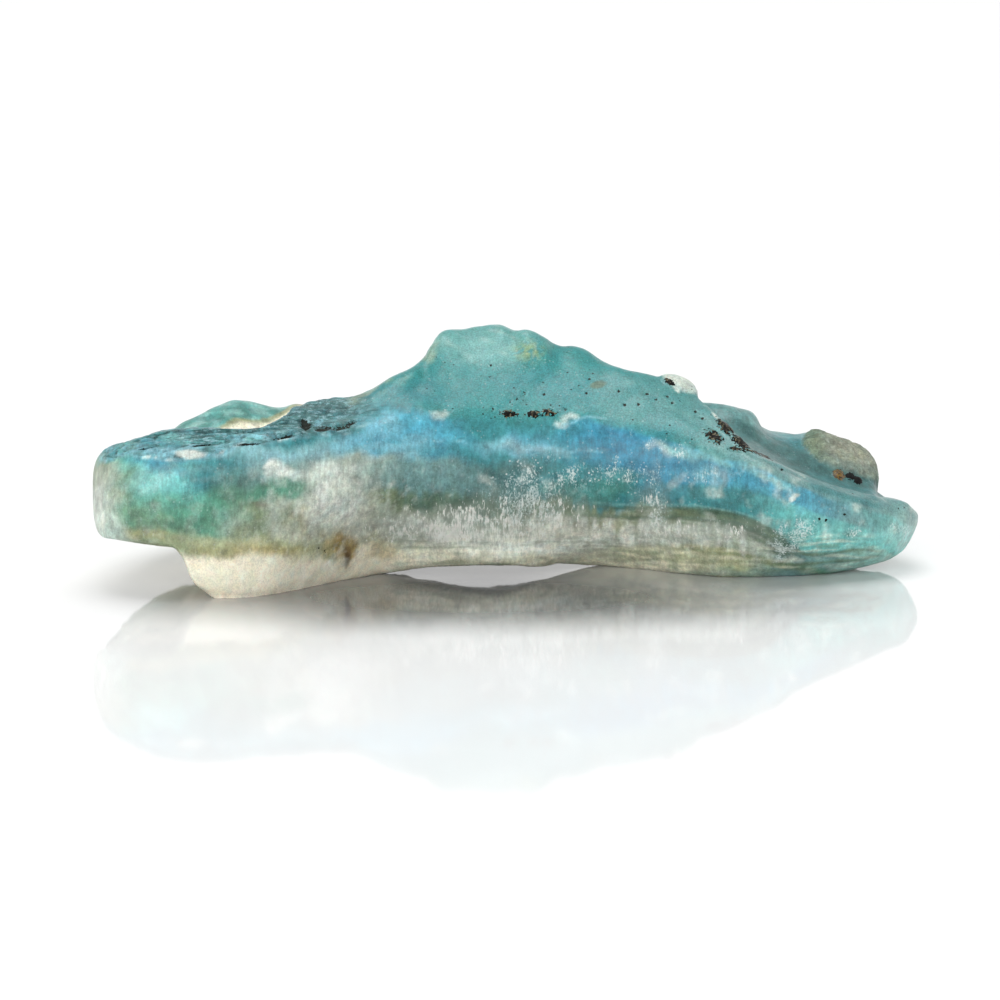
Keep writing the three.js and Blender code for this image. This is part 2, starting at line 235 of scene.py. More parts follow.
rail_number = np.concatenate(
    [rail + np.arange(points) / points for rail, points in enumerate(SPAN_POINTS)]
)
ring_x = ring_places()
body, tips = skin(ring_x, rail_number)
N = np.broadcast_to(rail_number, body.shape[:2])  # 0 to 3 broken face, 3 to 5 top, 7 to 9 back
top_of_lip = between(N, 3.4, 5.8, 0.5) * between(body[..., 0], 9, 16.8, 1.5)
body = softened(body, top_of_lip, rounds=60)
normal = outward(body)
X, Y, Z = np.moveaxis(body, 2, 0)
DIP = np.radians(10)  # the layers dip towards the back by this much
PILE_FRONT = -8.2  # the y at which a height in the pile is the height above the table
H = Z * np.cos(DIP) + (Y - PILE_FRONT) * np.sin(DIP)  # height in the pile of layers

# The stone's relief. Tumbling has left its faces softly uneven. The rim is broken and rippled, the
# back keeps the round domes in which the mineral grew, and the underside is torn off its rock.
shuffled = np.random.default_rng(11).permutation(256)
slopes = np.random.default_rng(12).normal(size=(256, 3))
slopes /= np.linalg.norm(slopes, axis=1, keepdims=True)
seats = np.random.default_rng(13).uniform(0.1, 0.9, (256, 3))


def corner_number(cell, seed):
    """A random number from 0 to 255 for each cell of a lattice: its x, y and z are looked up in
    turn in one shuffled list."""
    number = shuffled[(cell[..., 0] + 31 * seed) % 256]
    number = shuffled[(number + cell[..., 1]) % 256]
    return shuffled[(number + cell[..., 2]) % 256]


def grain(p, size, seed):
    """Gradient noise, about -1 to 1: every corner of a lattice has a random slope, and a point
    takes the eased blend of what the eight slopes round it give there."""
    q = p / np.asarray(size) + 7.31 * seed
    cell = np.floor(q).astype(int)
    f = q - cell
    ease = f**3 * (f * (f * 6 - 15) + 10)
    total = 0
    for corner in np.ndindex(2, 2, 2):
        slope = slopes[corner_number(cell + corner, seed)]
        weight = np.where(np.array(corner) == 1, ease, 1 - ease).prod(axis=-1)
        total = total + weight * ((f - corner) * slope).sum(axis=-1)
    return 1.6 * total


def drift(p, size, seed, octaves=4):
    """Cloudy noise: layers of grain, each half as coarse and half as strong as the last."""
    return sum(grain(p, np.asarray(size) / 2**k, seed + k) / 2**k for k in range(octaves))


def cells(p, size, seed):
    """Distances to the nearest and second nearest of points strewn one to a lattice cell, in
    cells."""
    q = p / np.asarray(size) + 3.7 * seed
    home = np.floor(q).astype(int)
    near = np.full(p.shape[:-1], 9.0)
    second = near.copy()
    for step in np.ndindex(3, 3, 3):
        cell = home + np.array(step) - 1
        distance = np.linalg.norm(cell + seats[corner_number(cell, seed)] - q, axis=-1)
        second = np.minimum(second, np.maximum(near, distance))
        near = np.minimum(near, distance)
    return near, second


def height_line(places, x=X):
    """The height that a line drawn on the stone has at each x, its own for every point."""
    return along(places, x.ravel()).reshape(x.shape)


def mound(centre, radius):
    """A round hump of height 1 about a point of the skin: one less the squared distance over the
    radius, squared."""
    distance = np.linalg.norm((body - np.array(centre)) / radius, axis=2)
    return np.clip(1 - distance**2, 0, 1) ** 2


def stretched(x, y, z):
    """The skin's points in a space of one's own, for noise that is drawn out or sheared."""
    return np.stack([x, y, z], axis=2)


front = np.maximum(between(N, -1, 3.1, 0.4), rise(11.4, 12, N))
sole = between(N, 9.4, 11.1, 0.6)
knobbly = between(N, 7.6, 9.1, 0.7) * between(X, -13, 13, 2.5)
shown = np.maximum(between(N, -1, 5.6, 0.7), rise(11.3, 12, N))  # faces forward or up
wander = drift(body, 1.7, 61, 5)
stray = drift(body, 1.7, 71, 5)

rim_floor = height_line(((-18, 5.75), (-16.4, 6.15), (-14.2, 6.0), (-13.1, 6.08), (-11.8, 6.45),
                         (-10.7, 6.65), (-9.4, 6.95), (-7.3, 7.1), (-6, 7.5)))
rim = rise(-0.12, 0.22, H - rim_floor + 0.18 * stray) * shown
rim *= (1 - rise(-7.6, -5.4, X + 0.5 * wander)) * rise(-17.9, -17.3, X)
bent = Z + 0.25 * Y + 0.2 * drift(body, 1.4, 22, 3) - 0.1 * X  # the sheets that it splits along
flakes = grain(stretched(X, Y, bent), (1.5, 0.7, 0.26), 21)
flakes = flakes + 0.5 * grain(stretched(X, Y, bent), (0.6, 0.35, 0.13), 23)
groove = rise(0.55, 0.95, 1 - 2 * np.abs(flakes))
chip_near, chip_second = cells(stretched(X * 0.4, Y * 0.9, bent * 1.4), 0.42, 25)
chipped = chip_second - chip_near

crust_edge = height_line(((12.6, 7.1), (13, 6.6), (13.5, 6.05), (14.2, 5.7), (15, 5.4),
                          (15.7, 5.2), (16.2, 5.05), (16.6, 5)))
crust = rise(-0.1, 0.08, H - crust_edge + 0.1 * stray)
crust_start = 13.15 + 0.3 * np.clip(Y - 2.3, 0, 3) ** 2  # it rounds off behind the ridge
crust *= between(X + 0.15 * wander - crust_start, 0, 3.45, 0.2)
crust *= between(N + 0.2 * stray, 5.4, 8.1, 0.3)
nub = rise(0, 0.6, np.sqrt(mound((7.57, -0.85, 8.1), (1.1, 1.0, 0.9))))

PIT_RADIUS = 0.11
PITS = ((1.57, 9.35), (0.78, 8.91), (1.61, 8.87), (0.43, 8.61), (0.13, 8.52), (-0.61, 8.17),
        (2.52, 8.22), (-0.74, 9.57), (-0.7, 10.13), (3.61, 9.52), (3.48, 8.91), (4.87, 8.96),
        (5.13, 8.39), (5.74, 8.39), (7, 8.74), (7.22, 8.43), (6.1, 8.85), (6.5, 8.6),
        (8.2, 8.05), (8.5, 7.75), (11.95, 5.55), (14.7, 3.6), (13.6, 3.4), (13.9, 3.35),
        (-8.15, 2.12), (-7.85, 1.98))
pits = np.max([1 - np.hypot(X - x, H - h) / PIT_RADIUS for x, h in PITS], axis=0)
CRUMBS = (  # (x, height, half length, half height, turn)
    (0.12, 7.97, 0.42, 0.19, -8), (1.15, 7.97, 0.4, 0.15, 4), (1.85, 8.05, 0.4, 0.17, 0),
    (9, 6.95, 0.52, 0.26, -38), (9.95, 6.4, 0.45, 0.1, -12), (9.5, 7.35, 0.6, 0.24, -50),
    (10.2, 6.68, 0.6, 0.28, -36), (11, 6.2, 0.6, 0.09, -22), (7.05, 9.27, 0.28, 0.08, -30),
    (8.05, 9.3, 0.3, 0.09, -32),
)


def out_in_oval(dx, dh, length, height, turn):
    """How far out in an oval a point lies, 0 in the middle and 1 on the outline: its distance
    along each turned axis over the half axis, squared, summed and rooted."""
    lean = np.radians(turn)
    across = (dx * np.cos(lean) + dh * np.sin(lean)) / length
    up = (dh * np.cos(lean) - dx * np.sin(lean)) / height
    return np.hypot(across, up)


def crumb(x, h, length, height, turn):
    """How far inside a crumb a point lies: 1 in its middle, 0 on its surface. Its outline is an
    oval seen from the front, and it sits on the foremost skin there, about as deep as long."""
    seen = np.hypot(X - x, H - h) + 0.03 * Y + 9 * between(N, 7.4, 11.2, 0.2)
    deep = (Y - Y.flat[seen.argmin()]) / (2.2 * max(length, height))
    return 1 - np.hypot(out_in_oval(X - x, H - h, length, height, turn), deep)


crumbs = np.clip(np.max([crumb(*place) for place in CRUMBS], axis=0), -1, 1)
# Crevices: cut into the relief, and painted near black in the finish as painted shade in them.
CREVICES = ((-8.72, 7.52, 0.36, 0.62, 4), (-7.95, 7.36, 0.6, 0.22, 12),
            (-7.2, 7.4, 0.6, 0.19, 8), (-6.7, 7.62, 0.4, 0.12, 20), (-9.6, 6.95, 0.7, 0.1, 12),
            (-11.2, 6.62, 0.9, 0.08, 4), (-13.2, 6.58, 0.8, 0.07, 6), (-15.6, 6.5, 0.5, 0.07, 12))
crevice = np.max([crumb(*place) for place in CREVICES], axis=0)
ochre_grain = np.clip(crumb(14.5, 5.26, 0.34, 0.31, 0), -1, 1)
black_grain = np.clip(np.maximum(crumb(15.02, 5.22, 0.24, 0.22, 0),
                                 crumb(15.36, 5.06, 0.26, 0.22, -20)), -1, 1)

banding = grain(stretched(X / 9, Y / 9, H), (1, 1, 0.3), 31)
near, second = cells(body + 0.8 * drift(body, 2.5, 41, 2)[..., None], 3.2, 43)
small_near, small_second = cells(body + 0.4 * drift(body, 1.5, 46, 2)[..., None], 1.5, 47)
domes = np.sqrt(np.clip(1 - near**2, 0, 1))
small_domes = np.sqrt(np.clip(1 - small_near**2, 0, 1))
torn = drift(body, 1.9, 51, 5)

HUMPS = (  # (rise, centre, radius)
    (0.11, (-2, 0.6, 10.2), (2.2, 1.5, 1)),
    (0.09, (2.9, 0.1, 9.5), (1.8, 1.2, 0.8)),
    (0.17, (-13.2, 2.4, 6.3), (1.2, 1.5, 0.8)),
    (-0.12, (-11.9, -7, 7.25), (1.8, 1.5, 0.8)),
    (0.12, (10.8, 1.1, 6.4), (0.8, 1, 0.7)),
    (0.15, (17.1, -2, 3.05), (1.3, 1.2, 0.8)),
    (-0.11, (13.2, 2.1, 5.5), (0.8, 1.2, 0.8)),
    (0.12, (-14.1, 1.8, 6), (0.7, 1.5, 0.8)),
)
relief = (
    0.07 * drift(body, 4.2, 1, 3) + 0.03 * drift(body, 1.1, 5, 3)
    + rim * (0.09 * chipped - 0.07 * groove + 0.03 * flakes)
    + front * 0.014 * banding
    + knobbly * (0.75 * domes + 0.3 * small_domes - 0.85)
    + sole * 0.22 * torn
    + crust * (0.02 + 0.11 * rise(13.3, 14.5, X) + 0.09 * drift(body, 0.7, 35, 4))
    + (0.18 + 0.05 * wander) * nub
    + 0.17 * rise(0, 0.7, ochre_grain) + 0.15 * rise(0, 0.7, black_grain)
    + rise(-0.1, 0.4, crumbs) * (0.05 + 0.05 * drift(body, 0.3, 37, 2))
    - 0.05 * rise(0.2, 0.8, pits) * shown - 0.15 * rise(0, 0.6, crevice)
    + sum(height * mound(centre, radius) for height, centre, radius in HUMPS)
)
relief *= rise(0, 0.9, LENGTH / 2 - np.abs(X))

stone_points = body + relief[..., None] * normal

# The layers, from the foot up to the smooth cap. Each has its top, as heights along the stone, and
# the colours that it takes from the blunt end to the lip. The foot is cream where no copper
# reached it; the layers above it run through olive, moss and milk to sea blue.
PIGMENTS = {
    "cream": (248, 242, 218), "milk": (224, 231, 221), "fog": (170, 182, 168),
    "sand": (206, 206, 183), "straw": (176, 180, 142), "ochre": (176, 158, 98),
    "olive": (122, 138, 106), "moss": (82, 112, 94), "leaf": (84, 148, 124),
    "sea": (54, 138, 137), "pale_sea": (142, 192, 184), "deep_sea": (58, 133, 138),
    "turquoise": (108, 188, 184), "ink": (68, 114, 112), "sky": (82, 162, 184),
    "pale_sky": (128, 184, 196), "blue": (54, 134, 162), "slate": (112, 152, 150),
    "steel": (134, 182, 188), "crust": (146, 151, 136), "umber": (88, 68, 42),
    "rust": (164, 138, 76), "lichen": (160, 176, 106), "soot": (36, 36, 32),
}


def pigment(name):
    """A named colour as linear light: the display curve undone for each channel."""
    share = np.array(PIGMENTS[name]) / 255
    return np.where(share < 0.04045, share / 12.92, ((share + 0.055) / 1.055) ** 2.4)


LAYERS = (  # (top: x and height, colours: x and name), the lowest layer first
    (((-18, 1.9), (-14, 1.8), (-12, 1.7), (-8, 1.65), (-6, 2), (-4.5, 1.75), (0, 1.75), (5, 1.85),
      (8, 1.95), (10, 1.7), (12, 1.2), (14, 0.9), (18, 0.7)),
     ((-6, "cream"), (-3, "sand"), (7, "sand"), (10, "straw"), (12, "slate"))),
    (((-18, 2.8), (-14, 2.9), (-12, 2.5), (-8, 2.4), (-6, 2.7), (-4.5, 2.2), (0, 2.25), (5, 2.2),
      (8, 2.3), (10, 2), (12, 1.5), (14, 1.2), (18, 0.9)),
     ((-17, "fog"), (-15.5, "olive"), (-12, "straw"), (-8, "straw"), (-5, "sand"), (1, "milk"),
      (5, "sand"), (9, "straw"), (12, "olive"), (14, "leaf"))),
    (((-18, 4.9), (-14, 3.6), (-10, 4.2), (-6, 3.8), (-3, 3.2), (0, 3.05), (6, 3.2), (8, 3.2),
      (9.5, 2.95), (10.6, 2.6), (11.5, 2), (12.5, 1.65), (14, 1.55), (16, 1.65), (18, 1.4)),
     ((-17.5, "fog"), (-16, "leaf"), (-13, "leaf"), (-11, "olive"), (-10, "fog"), (-8, "sand"),
      (-5, "fog"), (-3, "milk"), (6, "milk"), (8.5, "fog"), (11, "fog"), (13, "slate"),
      (16, "pale_sea"))),
    (((-18, 5.6), (-14, 4.6), (-10, 5), (-6, 4.6), (-3, 4.25), (0, 4.15), (3, 4), (6.6, 3.96),
      (8.4, 3.87), (10.1, 3.57), (11.4, 3.04), (12.3, 2.4), (13, 1.97), (14.2, 1.93), (15.3, 2.1),
      (16.3, 2.05), (18, 1.6)),
     ((-17.5, "olive"), (-15, "turquoise"), (-12.5, "leaf"), (-9.5, "leaf"), (-8, "fog"),
      (-5, "olive"), (-1, "moss"), (4, "olive"), (7, "olive"), (10, "moss"), (12, "moss"),
      (13, "slate"), (16, "pale_sea"))),
    (((-18, 6), (-12, 6), (-6, 6.2), (-3, 6), (0, 5.95), (3, 5.8), (5, 5.6), (7, 5), (9, 4.9),
      (11, 4.5), (12.5, 4), (14, 3.4), (16, 2.8), (18, 2.2)),
     ((-17.5, "olive"), (-15, "turquoise"), (-12.8, "deep_sea"), (-10, "slate"), (-7.5, "fog"),
      (-5, "slate"), (-3, "slate"), (0, "ink"), (3, "deep_sea"), (10, "deep_sea"),
      (12.5, "turquoise"), (17, "turquoise"))),
    (((-18, 6.2), (-16, 6.5), (-12, 6.55), (-9, 6.7), (-7.5, 7), (-6.4, 8), (-5, 8.25), (-3, 8),
      (-1.5, 7.5), (2, 7.6), (3.7, 7.7), (5.8, 7), (8, 6.5), (9.3, 6), (11, 5.6), (12.3, 5),
      (14, 4.3), (15.8, 3.8), (18, 3)),
     ((-17, "leaf"), (-14, "sky"), (-12.5, "steel"), (-8.5, "steel"), (-6, "sky"), (-1, "deep_sea"),
      (2, "deep_sea"), (5, "blue"), (10, "sky"), (13, "sky"), (15, "slate"), (17, "turquoise"))),
    (((-18, 99), (18, 99)),
     ((-9, "deep_sea"), (-6.5, "deep_sea"), (-4.5, "sea"), (-2, "sea"), (7, "sea"), (11, "slate"),
      (17, "slate"))),
)

behind = rise(6.8, 8.4, N) * (1 - rise(11.3, 12, N))
unrest = 0.42 - 0.33 * rise(1, 6.5, X) * (1 - behind) + 0.4 * behind
layer_x = X + 2 * unrest * wander
layer_h = H + unrest * stray - 1.1 * behind
layer_blur = 0.3 - 0.2 * rise(3, 7, X)
upright = grain(stretched(X, Y, H * 0.1), (0.3, 2, 1), 221)  # the grain of crystals on end
upright = upright + 0.6 * grain(stretched(X, Y, H * 0.15), (0.14, 2, 1), 222)
on_end = between(X, -5, 5, 1.5) * between(H, 2.6, 4.5, 0.4) * (1 - behind)
layer_h = layer_h - 0.4 * upright * on_end

colour = np.zeros(X.shape + (3,))
floor_below = np.full(X.shape, -99)
for top, stations in LAYERS:
    at = np.array([x for x, _ in stations])
    shades = np.array([pigment(name) for _, name in stations])
    own = np.stack([np.interp(layer_x, at, shade) for shade in shades.T], axis=-1)
    colour += (own - colour) * rise(-layer_blur, layer_blur, layer_h - floor_below)[..., None]
    floor_below = height_line(top, layer_x)


def paint(name, mask, strength=1.0):
    """Blends a named colour into the stone's colours by mask times strength."""
    colour[:] += (pigment(name) - colour) * np.clip(mask * strength, 0, 1)[..., None]


def patchy(low, high, size, seed, octaves):
    """Ragged patches: 1 where cloudy noise is above high and 0 where it is below low."""
    return rise(low, high, drift(body, size, seed, octaves))


def stripe(offset, width):
    """A soft line along which offset is 0: the bell curve of offset over width."""
    return np.exp(-((offset / width) ** 2))


# What lies in the layers of the broken face: clouds of blue and milk, stains and dark seams, each
# an oval (x, height, half length, half height, turn in degrees) with a ragged, soft edge.
ragged_x = 0.4 * drift(body, 1.1, 81, 5)
ragged_h = 0.28 * drift(body, 1.1, 91, 5)
face_side = np.maximum(between(N, -1, 4.6, 0.6), rise(11.3, 11.8, N))
face_side *= 1 - 0.8 * rise(-6.4, -4.6, Y) * (1 - rise(-16.6, -15, X))


def oval(x, h, length, height, turn=0, edge=0.6, ragged=1):
    """A soft oval on the side that the layers show: 1 inside its outline and 0 outside, with an
    S between them as wide as twice edge."""
    dx, dh = X + ragged * ragged_x - x, H + ragged * ragged_h - h
    out = out_in_oval(dx, dh, length, height, turn)
    return (1 - rise(1 - edge, 1 + edge, out)) * face_side


CLOUDS = (  # (colour, strength, the oval's numbers)
    ("milk", 0.45, -17.45, 3.9, 0.65, 1.35), ("pale_sea", 0.25, -17.1, 2.8, 0.6, 0.4),
    ("fog", 0.4, -17.3, 5.5, 0.55, 0.45), ("olive", 0.6, -16.35, 4.2, 0.25, 1.1, -12),
    ("straw", 0.4, -16.8, 4.7, 0.3, 0.5), ("blue", 0.6, -15, 5.75, 0.8, 0.35),
    ("turquoise", 0.5, -15.2, 4.9, 1.5, 0.45), ("pale_sea", 0.42, -15.6, 4.95, 1.1, 0.4),
    ("sky", 0.4, -15.6, 6.05, 0.8, 0.2), ("moss", 0.25, -13.2, 3.8, 0.8, 0.4),
    ("sky", 0.35, -14.6, 5.4, 1.2, 0.25), ("slate", 0.3, -13.6, 5.5, 1.6, 0.3),
    ("leaf", 0.4, -15.4, 4.3, 0.9, 0.4), ("pale_sea", 0.2, -15.3, 4.4, 0.7, 0.4),
    ("deep_sea", 0.6, -12.9, 5, 0.55, 0.45), ("leaf", 0.7, -14.6, 3.7, 1.8, 0.8),
    ("olive", 0.45, -15.3, 3.5, 0.8, 0.6, -20), ("moss", 0.4, -14.4, 3.15, 1.1, 0.3),
    ("olive", 0.9, -15.7, 2.75, 0.9, 0.35), ("ochre", 0.3, -15.5, 2.7, 0.7, 0.25),
    ("moss", 0.6, -11.6, 4.7, 0.8, 0.7), ("leaf", 0.4, -12.4, 3.6, 0.6, 0.8),
    ("olive", 0.25, -10.6, 3.6, 1.2, 0.45, -20), ("pale_sea", 0.3, -11.8, 3.4, 0.8, 0.5),
    ("leaf", 0.6, -9.9, 4.7, 0.75, 0.5), ("fog", 0.35, -11.9, 3, 0.9, 0.4),
    ("umber", 0.5, -10.7, 4.08, 0.4, 0.09, -6, 0.6, 0.3), ("olive", 0.6, -9, 3.6, 0.6, 0.6),
    ("straw", 0.5, -10.9, 2.3, 2.2, 0.5), ("ochre", 0.5, -10.4, 2, 1.4, 0.25),
    ("ochre", 0.45, -12.5, 2, 1.1, 0.28), ("olive", 0.3, -12.6, 2.1, 1, 0.28),
    ("ochre", 0.45, -8.9, 3.1, 0.3, 0.6), ("milk", 0.85, -9.9, 5.5, 0.7, 0.35),
    ("milk", 0.9, -10.2, 5.72, 0.4, 0.12, 8, 0.3, 0.3), ("milk", 0.6, -8, 5.4, 1.3, 0.35, 4),
    ("milk", 0.7, -7.3, 4.2, 1.9, 0.75, 38), ("milk", 0.7, -7.7, 4.3, 1.1, 0.7),
    ("milk", 0.5, -6.7, 3.9, 0.7, 0.6), ("fog", 0.6, -6.3, 5, 1.4, 0.5, 30),
    ("fog", 0.5, -8.2, 2.9, 0.9, 0.6), ("milk", 0.4, -6.9, 3, 0.6, 0.7),
    ("ochre", 0.55, -7.6, 2.4, 0.4, 0.5), ("ochre", 0.5, -5.5, 2.05, 0.6, 0.4),
    ("rust", 0.85, -7.1, 2.05, 0.42, 0.75), ("umber", 0.75, -7, 1.7, 0.15, 0.5, 4, 0.5, 0.4),
    ("umber", 1, -7, 1.6, 0.14, 0.28, 4, 0.5, 0.3), ("cream", 0.8, -10.5, 0.9, 3, 0.75),
    # the full-strength cream at x -6, height 1.45 is partly the foot's own colour, partly painted
    # light lifting the overhang's shade
    ("cream", 1, -6, 1.45, 0.75, 0.4), ("sky", 0.85, -4, 7.3, 1.5, 0.5, -4),
    ("sky", 0.5, -2.6, 6.9, 1.4, 0.4, -12), ("pale_sky", 0.6, -5.5, 7.3, 0.9, 0.5, 20),
    ("pale_sky", 0.7, -5, 6.5, 1.7, 0.2, 2), ("pale_sky", 0.5, -4, 6.93, 0.8, 0.22),
    ("fog", 0.4, -5.3, 6, 1.3, 0.25, 6), ("pale_sky", 0.9, 0.5, 6.5, 1.6, 0.35),
    ("milk", 0.3, 1.2, 6.4, 1.3, 0.2, -4), ("sky", 0.5, 1.4, 6.6, 1.3, 0.55),
    ("deep_sea", 0.6, -0.9, 7.35, 1.2, 0.35), ("blue", 0.6, 4.6, 6.8, 2, 0.7, -4),
    ("blue", 0.8, 6.9, 5.4, 1.2, 0.9, -12), ("blue", 0.7, 7.9, 5.7, 1.1, 0.45),
    ("sky", 0.5, 9.3, 5.1, 2.2, 0.35, -10), ("sky", 0.4, 13, 4.1, 1.6, 0.4, -14),
    ("ink", 0.2, -3.4, 4.8, 1.9, 0.5), ("slate", 0.4, -3.6, 5.2, 2, 0.45, -6),
    ("pale_sea", 0.3, -5.6, 5.6, 0.9, 0.25, 14), ("moss", 0.8, -2.3, 4.05, 2.2, 0.4),
    ("leaf", 0.7, 3.5, 4.7, 1.7, 0.45), ("deep_sea", 0.5, 3.2, 4.7, 1.4, 0.45),
    ("deep_sea", 0.5, 9, 4.5, 2.4, 0.35, -4), ("milk", 0.5, 7, 2.75, 1.2, 0.45),
    ("milk", 0.55, 9.3, 2.55, 1.4, 0.4, -6), ("straw", 0.45, 6.5, 1.8, 2.6, 0.3),
    ("slate", 0.5, 10.5, 1, 2.6, 0.25), ("milk", 0.6, -2.95, 7.85, 0.24, 0.24, 0, 0.95),
    ("milk", 0.6, 2.35, 7.7, 0.36, 0.2, 8, 0.95, 1.6), ("pale_sky", 0.75, 8.6, 5.45, 0.5, 0.3),
    ("milk", 0.45, 6.7, 6.55, 0.5, 0.25, -20), ("pale_sea", 0.6, 7.5, 6.35, 0.9, 0.25, -24),
    ("deep_sea", 0.5, 1.8, 9.1, 2.6, 0.8, -8), ("deep_sea", 0.35, 7.1, 7.4, 1.3, 0.6, -30),
    ("pale_sea", 0.55, 8.9, 6.05, 1.1, 0.18, -25), ("pale_sea", 0.5, 11.2, 5.3, 1.4, 0.22, -25),
    ("milk", 0.8, 12.5, 4.3, 0.28, 0.14, 30, 0.25, 0.5), ("pale_sea", 0.15, 9.6, 4.4, 2.3, 0.4, -6),
    ("slate", 0.25, 14.9, 3.2, 2.2, 0.6, -12), ("pale_sea", 0.2, 14.6, 2.7, 1.8, 0.35, -6),
    # the pale sea and milk on the lip's tip, at x 17.2 and 17.5, are painted light lifting the
    # shade on its lower right
    ("pale_sea", 0.5, 17.2, 2.9, 0.9, 0.9), ("milk", 0.15, 17.5, 2.8, 0.6, 0.9),
    ("milk", 0.4, -3.2, 3.15, 2.3, 0.5, 2), ("cream", 0.35, 3.2, 2.95, 3.6, 0.5),
)
for name, strength, *place in CLOUDS:
    paint(name, oval(*place), strength)
veiled = face_side * (1 - rise(5, 6.4, H)) * (0.35 + 0.65 * rise(-12, -9, X))
paint("milk", patchy(0.1, 0.8, 0.9, 201, 5) * veiled, 0.4)
paint("ink", patchy(0.1, 0.8, 0.8, 211, 5) * veiled * rise(2.6, 4.2, H), 0.38)
paint("milk", patchy(0.2, 0.6, 0.35, 205, 3) * veiled * (1 - rise(-4, -2, X)), 0.25)

# Fine seams in the layers on the lip's side: thin lines that bend down together under the lip.
depth = height_line(LAYERS[3][0]) - H + 0.05 * grain(body, 0.9, 101)
crisp = rise(1.5, 5, X) * (1 - rise(15.5, 17.5, X)) * face_side
SEAMS = (("pale_sea", -0.07, 0.05, 0.45), ("moss", 0.07, 0.07, 0.75), ("olive", 0.3, 0.05, 0.35),
         ("moss", 0.5, 0.08, 0.7), ("milk", 0.66, 0.05, 0.3))
for name, below, width, strength in SEAMS:
    fading = crisp if below < 0.2 else crisp * (1 - rise(11.6, 12.6, X))
    paint(name, stripe(depth - below, width) * fading, strength)
low_seam = height_line(((10.5, 1.45), (12.3, 1.39), (14, 1.52), (15.3, 1.6), (16.2, 1.78),
                        (18, 1.5)))
paint("moss", stripe(H - low_seam, 0.07) * crisp * rise(11.5, 12.5, X), 0.7)
laminae = grain(stretched(X * 0.1, Y * 0.2, H + 0.06 * wander), 0.15, 251)
low_layers = face_side * between(H, 1.2, 2.6, 0.3) * rise(-6, -4, X) * (1 - rise(15, 17, X))
paint("olive", low_layers * rise(0, 0.6, laminae), 0.45)
paint("cream", low_layers * rise(0, 0.6, -laminae), 0.35)
columnar = between(depth, 0.6, 1.7, 0.15) * crisp * (1 - rise(11, 12, X))
paint("milk", columnar * rise(0, 0.6, upright), 0.5)
paint("olive", columnar * rise(0, 0.6, -upright), 0.35)

# Pale edges round the blue clouds.
EDGES = (  # each a line of (x, height)
    ((-6.1, 7.4), (-5.65, 7.85), (-4.75, 8.2), (-3.9, 8.15), (-3.1, 7.9)),
    ((-6.4, 6.5), (-5.6, 6.7), (-4.6, 6.5), (-3.7, 6.75), (-2.6, 6.8), (-1.3, 6.65)),
    ((-0.8, 6.65), (0.2, 6.2), (1.2, 6.15), (2.2, 6.17), (3.2, 6.4), (4.4, 6.35)),
)
for edge in EDGES:
    line = stripe(H - height_line(edge) + 0.05 * stray, 0.06) * face_side
    line = line * between(X, edge[0][0] + 0.2, edge[-1][0] - 0.2, 0.3)
    paint("pale_sky", line * patchy(-0.5, 0.2, 0.5, 255, 3), 0.75)

# The broken rim: flakes with painted shade in the hollows between them, painted highlights on their
# chipped faces, and a pale, worn edge along its foot.
paint("slate", rim, 0.85)
paint("ink", rim * rise(-10.5, -8.5, X), 0.75)
paint("deep_sea", rim * patchy(-0.3, 0.5, (1.6, 1, 0.5), 112, 3), 0.7)
paint("blue", rim * patchy(0, 0.6, (1.8, 1, 0.4), 113, 3), 0.35)
paint("turquoise", rim * patchy(0, 0.6, (1.2, 1, 0.3), 118, 3) * (X < -9), 0.5)
# painted highlights: pale glints on the raised chip faces
paint("pale_sky", rim * rise(0.2, 0.6, chipped) * rise(-0.3, 0.3, flakes), 0.85)
# painted shade in the grooves between the flakes
paint("ink", rim * groove, 0.9)
paint("ink", rim * rise(3.7, 4.5, N), 0.35)
foot_of_rim = between(H - rim_floor, 0, 0.4, 0.25) * rim * (1 - rise(-11, -9.5, X))
streaky = drift(stretched(X * 0.4, Y, H * 2), 0.5, 257, 4)
paint("pale_sky", foot_of_rim * rise(-0.2, 0.4, streaky), 0.75)
# painted shade: the deepest grooves darkened further
paint("soot", rim * rise(0.75, 1, groove) * patchy(0, 0.5, 0.9, 115, 3), 0.5)
worn = stripe(H - rim_floor + 0.1 * stray, 0.09) * between(X, -17, -6.5, 0.6) * face_side
paint("pale_sky", worn * patchy(-0.4, 0.2, 0.6, 114, 3), 0.9)
paint("milk", worn * patchy(0.1, 0.5, 0.6, 114, 3), 0.6)
lens = oval(-13.7, 6.25, 0.62, 0.17, -6, 0.25, 0.3)
paint("milk", lens, 0.85)
paint("ink", oval(-12.9, 6.42, 0.35, 0.12, 10, 0.4, 0.3), 0.6)
# painted shade round the deep crevice, and a painted highlight beside it
paint("ink", oval(-8.5, 7.5, 0.75, 0.5, -10, 0.5, 0.6), 0.8)
paint("pale_sky", oval(-8.25, 7.62, 0.2, 0.12, 40, 0.4, 0.5), 0.9)
paint("ink", oval(-6.6, 7.35, 0.65, 0.3, 14), 0.75)

